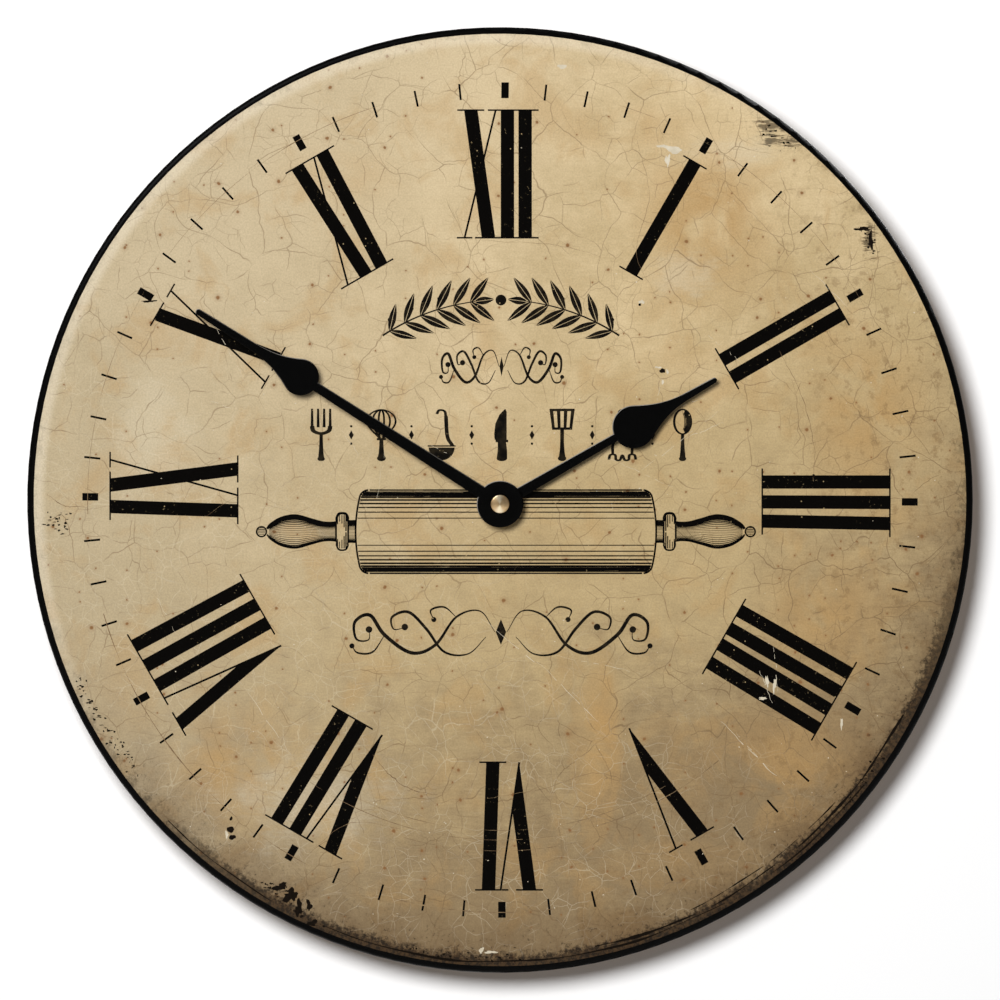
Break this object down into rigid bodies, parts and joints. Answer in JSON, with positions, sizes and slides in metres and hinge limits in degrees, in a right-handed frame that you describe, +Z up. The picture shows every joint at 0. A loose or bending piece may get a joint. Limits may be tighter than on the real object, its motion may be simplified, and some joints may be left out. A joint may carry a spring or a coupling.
{
  "type": "wall clock",
  "caption": "Round printed board wall clock with black teardrop hands on a battery quartz movement, hung by a keyhole plate behind the dial.",
  "frame": {"origin": "on the hands' axis, in the plane of the wall that the movement's back rests on", "axes": "+Z up, +X to the right as the dial is read, +Y into the wall, so the dial faces -Y"},
  "size_m": [0.3048, 0.0354, 0.3048],
  "materials": {
    "dial_board": "black painted fibreboard, satin",
    "printed_paper": "aged cream print under a thin satin laminate",
    "black_hand": "black satin lacquer on stamped aluminium",
    "brass_nut": "lathe brushed",
    "brass": "turned",
    "steel": "zinc plated",
    "contact_steel": "nickel plated spring strip",
    "rubber": "matte",
    "case_plastic": "fine moulded texture",
    "white_plastic": "natural acetal",
    "magnet": "sintered",
    "copper": "enamelled winding wire",
    "circuit": "phenolic laminate",
    "epoxy": "potting blob",
    "crystal_can": "plated can",
    "battery_wrap": "plain shrink wrap"
  },
  "bodies": {
    "clock": {"dial_board": "dial_board", "dial_sheet": "printed_paper", "hanger": "steel", "rubber_washer": "rubber", "threaded_bushing": "brass", "bushing_washer": "brass", "hex_nut": "brass", "movement_case": "case_plastic", "case_posts": "case_plastic", "movement_cover": "case_plastic", "train_plate": "white_plastic", "stator": "steel", "coil_core": "steel", "coil_bobbin": "white_plastic", "coil_winding": "copper", "coil_leads": "copper", "circuit_board": "circuit", "chip_blob": "epoxy", "quartz_crystal": "crystal_can", "contact_positive": "contact_steel", "contact_negative": "contact_steel"},
    "minute_hand_arbor": {"minute_hand": "black_hand", "cap_nut": "brass_nut", "minute_pipe": "brass", "cannon_pinion": "brass", "centre_wheel": "white_plastic", "clutch_ring": "steel"},
    "hour_hand_arbor": {"hour_hand": "black_hand", "hour_hand_collet": "brass", "hour_wheel": "white_plastic"},
    "minute_wheel_arbor": {"minute_wheel": "white_plastic", "setting_knob": "white_plastic"},
    "third_arbor": {"third_wheel": "white_plastic"},
    "seconds_arbor": {"seconds_wheel": "white_plastic"},
    "intermediate_arbor": {"intermediate_wheel": "white_plastic"},
    "rotor": {"rotor_pinion": "white_plastic", "rotor_magnet": "magnet"},
    "battery": {"battery_cell": "battery_wrap", "battery_button": "crystal_can"}
  },
  "joints": [
    {"name": "minute_hand_turn", "type": "hinge", "parent": "clock", "child": "minute_hand_arbor", "pos_m": [0, 0, 0], "axis": [0, 1, 0], "continuous": true},
    {"name": "hour_hand_turn", "type": "hinge", "parent": "clock", "child": "hour_hand_arbor", "pos_m": [0, 0, 0], "axis": [0, 1, 0], "continuous": true},
    {"name": "minute_wheel_turn", "type": "hinge", "parent": "clock", "child": "minute_wheel_arbor", "pos_m": [-0.01024, 0, 0], "axis": [0, 1, 0], "continuous": true},
    {"name": "third_wheel_turn", "type": "hinge", "parent": "clock", "child": "third_arbor", "pos_m": [0.00958, 0, 0.00349], "axis": [0, 1, 0], "continuous": true},
    {"name": "seconds_wheel_turn", "type": "hinge", "parent": "clock", "child": "seconds_arbor", "pos_m": [0, 0, 0], "axis": [0, 1, 0], "continuous": true},
    {"name": "intermediate_wheel_turn", "type": "hinge", "parent": "clock", "child": "intermediate_arbor", "pos_m": [-0.00509, 0, 0.00607], "axis": [0, 1, 0], "continuous": true},
    {"name": "rotor_turn", "type": "hinge", "parent": "clock", "child": "rotor", "pos_m": [-0.00749, 0, 0.01264], "axis": [0, 1, 0], "continuous": true},
    {"name": "battery_out", "type": "slide", "parent": "clock", "child": "battery", "axis": [0, 1, 0], "range_m": [0, 0.03]}
  ],
  "couplings": [
    {"joint": "hour_hand_turn", "follows": "minute_hand_turn", "ratio": 0.083333},
    {"joint": "minute_wheel_turn", "follows": "minute_hand_turn", "ratio": -0.33333},
    {"joint": "third_wheel_turn", "follows": "minute_hand_turn", "ratio": -8},
    {"joint": "seconds_wheel_turn", "follows": "minute_hand_turn", "ratio": 60},
    {"joint": "intermediate_wheel_turn", "follows": "minute_hand_turn", "ratio": -300},
    {"joint": "rotor_turn", "follows": "minute_hand_turn", "ratio": 1800}
  ]
}
